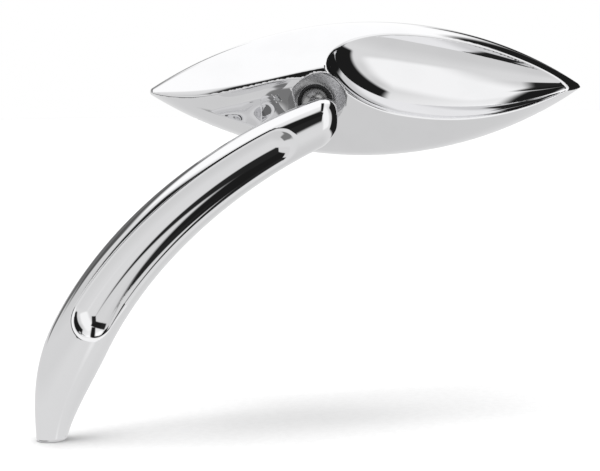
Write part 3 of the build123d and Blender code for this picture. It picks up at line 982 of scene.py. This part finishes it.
class StudioSettings(bpy.types.PropertyGroup):
    """Light, floor and backdrop."""

    backdrop: tone("Backdrop", "Colour behind the mirror", (1.0, 1.0, 1.0))
    floor: tone("Floor", "Colour of the floor", (0.93, 0.93, 0.93))
    floor_half_width: length("Floor", "Half the floor's width", 40.0)
    lamp_strength: FloatProperty(
        name="Lamp", description="Strength of the soft overhead light", default=2.0, min=0
    )
    lamp_spread: angle("Lamp spread", "Softness of the overhead light", 40)


class CameraSettings(bpy.types.PropertyGroup):
    """Place of the camera."""

    target: FloatVectorProperty(
        name="Target",
        description="Point in the middle of the picture",
        default=(0.10680, 0, 0.08226),
        size=3,
        subtype="XYZ",
        unit="LENGTH",
    )
    azimuth: angle("Azimuth", "Turn round the mirror", -10)
    elevation: angle("Elevation", "Angle above the level", 5)
    roll: angle("Roll", "Turn about the view", -0.9)
    distance: length("Distance", "Distance from the target", 0.6033)
    lens: FloatProperty(name="Lens", description="Focal length in millimetres", default=85.0, min=10)


def settings_of(kind, name):
    """Setting that holds a group of settings."""
    return PointerProperty(type=kind, name=name, description=kind.__doc__)


class MirrorSettings(bpy.types.PropertyGroup):
    """All settings of the mirror."""

    head: settings_of(HeadSettings, "Head")
    stem: settings_of(StemSettings, "Stem")
    glass: settings_of(GlassSettings, "Glass")
    finish: settings_of(FinishSettings, "Finish")
    studio: settings_of(StudioSettings, "Studio")
    camera: settings_of(CameraSettings, "Camera")


def coarser(cell):
    """Cell of the mesh, as it is set: the factor here is 1."""
    return np.array(cell) * 1.0


# Operators: one for each piece or group of pieces
class MIRROR_OT_head(bpy.types.Operator):
    """Build the polished head with its rough cast socket and hollow"""

    bl_idname = "mirror.head"
    bl_label = "Head"

    def execute(self, context):
        settings = context.scene.mirror
        finish = settings.finish
        low, high = [np.array(corner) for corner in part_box("housing")]
        field = head_field(settings.head)
        piece = polished_piece("polished_housing", field, low, high, coarser(settings.head.cell))
        chrome = finish_material(
            "head_chrome",
            cast_group(),
            colours=(finish.chrome, finish.cast),
            roughness=(finish.polish, finish.cast_roughness),
            scale=60.0,
            metallic=1.0,
            bump=0.14,
            distance=0.0002,
            Grain=1800.0,
            Socket=SOCKET_RADIUS * math.sin(THROAT_ANGLE) + RECESS_FLARE,
        )
        dress(piece, chrome)
        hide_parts("housing")
        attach(piece, "head")
        return {"FINISHED"}


class MIRROR_OT_stem(bpy.types.Operator):
    """Build the polished stem with its flutes and its tapped foot"""

    bl_idname = "mirror.stem"
    bl_label = "Stem"

    def execute(self, context):
        settings = context.scene.mirror
        finish = settings.finish
        low, high = [np.array(corner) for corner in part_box("stem")]
        cell = coarser((settings.stem.cell,) * 3)
        piece = polished_piece("polished_stem", stem_field(settings.stem), low, high, cell)
        chrome = finish_material(
            "stem_chrome",
            thread_group(),
            colours=(finish.chrome, finish.chrome_haze),
            roughness=(finish.polish, finish.thread_roughness),
            scale=300.0,
            metallic=1.0,
            bump=0.9,
            distance=0.0006,
            Pitch=THREAD_PITCH,
            Bore=THREAD_RADIUS,
            Depth=THREAD_DEPTH,
        )
        dress(piece, chrome)
        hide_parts("stem")
        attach(piece, "stem")
        return {"FINISHED"}


class MIRROR_OT_stud(bpy.types.Operator):
    """Finish the turned ball stud"""

    bl_idname = "mirror.stud"
    bl_label = "Ball stud"

    def execute(self, context):
        turned = finish_material(
            "turned_steel",
            turned_group(),
            # The darker colour is the rings' tone and the painted shade of the ball inside the socket; Ball
            # is the radius of that painted shade.
            colours=((0.74, 0.74, 0.75), (0.42, 0.42, 0.42)),
            roughness=(0.07, 0.14),
            scale=22000.0,
            metallic=1.0,
            bump=0.15,
            distance=0.00005,
            coat=0.3,
            Ball=0.0082,
        )
        dress(frame["nodes"]["ball_stud"], turned)
        return {"FINISHED"}


class MIRROR_OT_seats(bpy.types.Operator):
    """Finish the two moulded ball seats"""

    bl_idname = "mirror.seats"
    bl_label = "Ball seats"

    def execute(self, context):
        nylon = finish_material(
            "black_nylon",
            grain_group(),
            colours=((0.018, 0.018, 0.019), (0.035, 0.035, 0.037)),
            roughness=(0.38, 0.55),
            scale=3000.0,
            bump=0.15,
            distance=0.0001,
        )
        for name in ("front_seat", "rear_seat"):
            dress(frame["nodes"][name], nylon)
        return {"FINISHED"}


class MIRROR_OT_glass(bpy.types.Operator):
    """Build the bevelled glass and finish the tape behind it"""

    bl_idname = "mirror.glass"
    bl_label = "Glass and tape"

    def execute(self, context):
        settings = context.scene.mirror
        piece = glass_piece(settings.glass)
        silver = finish_material(
            "silvered_glass",
            polish_group(),
            colours=((0.90, 0.925, 0.92), (0.88, 0.905, 0.90)),
            roughness=(0.0, 0.012),
            scale=40.0,
            metallic=1.0,
            bump=0.004,
            distance=0.0002,
            coat=1.0,
        )
        edge = finish_material(
            "glass_edge",
            polish_group(),
            colours=((0.20, 0.34, 0.30), (0.28, 0.42, 0.38)),
            roughness=(0.05, 0.12),
            scale=200.0,
            bump=0.05,
            distance=0.0002,
            coat=1.0,
        )
        paint = finish_material(
            "backing_paint",
            grain_group(),
            colours=((0.10, 0.10, 0.11), (0.14, 0.14, 0.15)),
            roughness=(0.5, 0.65),
            scale=1500.0,
            bump=0.1,
            distance=0.0001,
        )
        dress(piece, silver, edge, paint)
        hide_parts("mirror_glass")
        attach(piece, "head")
        foam = finish_material(
            "black_foam",
            spangle_group(),
            colours=((0.03, 0.03, 0.03), (0.05, 0.05, 0.05)),
            roughness=(0.9, 1.0),
            scale=2400.0,
            bump=0.8,
            distance=0.0003,
        )
        dress(frame["nodes"]["foam_tape"], foam)
        return {"FINISHED"}


class MIRROR_OT_clamp(bpy.types.Operator):
    """Finish the zinc plated clamp behind the ball"""

    bl_idname = "mirror.clamp"
    bl_label = "Clamp"

    def execute(self, context):
        zinc = finish_material(
            "zinc_plate",
            spangle_group(),
            colours=((0.58, 0.59, 0.60), (0.68, 0.69, 0.70)),
            roughness=(0.25, 0.4),
            scale=900.0,
            metallic=1.0,
            bump=0.1,
            distance=0.0001,
        )
        for name in ("clamp_plate", "clamp_screws", "spring_washers"):
            dress(frame["nodes"][name], zinc)
        return {"FINISHED"}


class MIRROR_OT_studio(bpy.types.Operator):
    """Set up the floor, the white tent, the lamp and the camera"""

    bl_idname = "mirror.studio"
    bl_label = "Studio"

    def execute(self, context):
        scene = context.scene
        settings = scene.mirror
        scene.world = tent_world(settings.studio)
        floor = floor_piece(settings.studio)
        pale = tuple(settings.studio.floor)
        shade = tuple(FLOOR_SHADE * level for level in pale)
        paper = finish_material(
            "floor_paper",
            grain_group(),
            colours=(pale, shade),
            roughness=(0.8, 0.95),
            scale=300.0,
            bump=0.05,
            distance=0.0001,
        )
        dress(floor, paper)
        lamp = bpy.data.lights.new("soft_lamp", "SUN")
        lamp.energy = settings.studio.lamp_strength
        lamp.angle = settings.studio.lamp_spread
        lamp_object = bpy.data.objects.new("soft_lamp", lamp)
        lamp_object.visible_glossy = False
        scene.collection.objects.link(lamp_object)
        camera = bpy.data.cameras.new("camera")
        camera.lens = settings.camera.lens
        camera.sensor_width = SENSOR_WIDTH
        camera.sensor_fit = "HORIZONTAL"
        camera.clip_start = CLIP_START
        camera_object = bpy.data.objects.new("camera", camera)
        camera_object.matrix_world = camera_matrix(settings.camera)
        scene.collection.objects.link(camera_object)
        scene.camera = camera_object
        scene.view_settings.view_transform = "Standard"
        return {"FINISHED"}


class MIRROR_PT_panel(bpy.types.Panel):
    """Sidebar panel with the mirror's steps and settings"""

    bl_idname = "MIRROR_PT_panel"
    bl_label = "Mirror"
    bl_space_type = "VIEW_3D"
    bl_region_type = "UI"
    bl_category = "Mirror"

    def draw(self, context):
        settings = context.scene.mirror
        for operator in OPERATORS:
            self.layout.operator(operator.bl_idname)
        for name in MirrorSettings.__annotations__:
            group = getattr(settings, name)
            column = self.layout.column()
            for key in group.__annotations__:
                column.prop(group, key)


SETTINGS = (
    HeadSettings,
    StemSettings,
    GlassSettings,
    FinishSettings,
    StudioSettings,
    CameraSettings,
    MirrorSettings,
)
OPERATORS = (
    MIRROR_OT_head,
    MIRROR_OT_stem,
    MIRROR_OT_stud,
    MIRROR_OT_seats,
    MIRROR_OT_glass,
    MIRROR_OT_clamp,
    MIRROR_OT_studio,
)
CLASSES = SETTINGS + OPERATORS + (MIRROR_PT_panel,)


def register():
    for item in CLASSES:
        bpy.utils.register_class(item)
    bpy.types.Scene.mirror = settings_of(MirrorSettings, "Mirror")


def unregister():
    del bpy.types.Scene.mirror
    for item in reversed(CLASSES):
        bpy.utils.unregister_class(item)


def main():
    register()
    bpy.ops.mirror.head()
    bpy.ops.mirror.stem()
    bpy.ops.mirror.stud()
    bpy.ops.mirror.seats()
    bpy.ops.mirror.glass()
    bpy.ops.mirror.clamp()
    bpy.ops.mirror.studio()


if __name__ == "__main__":
    main()
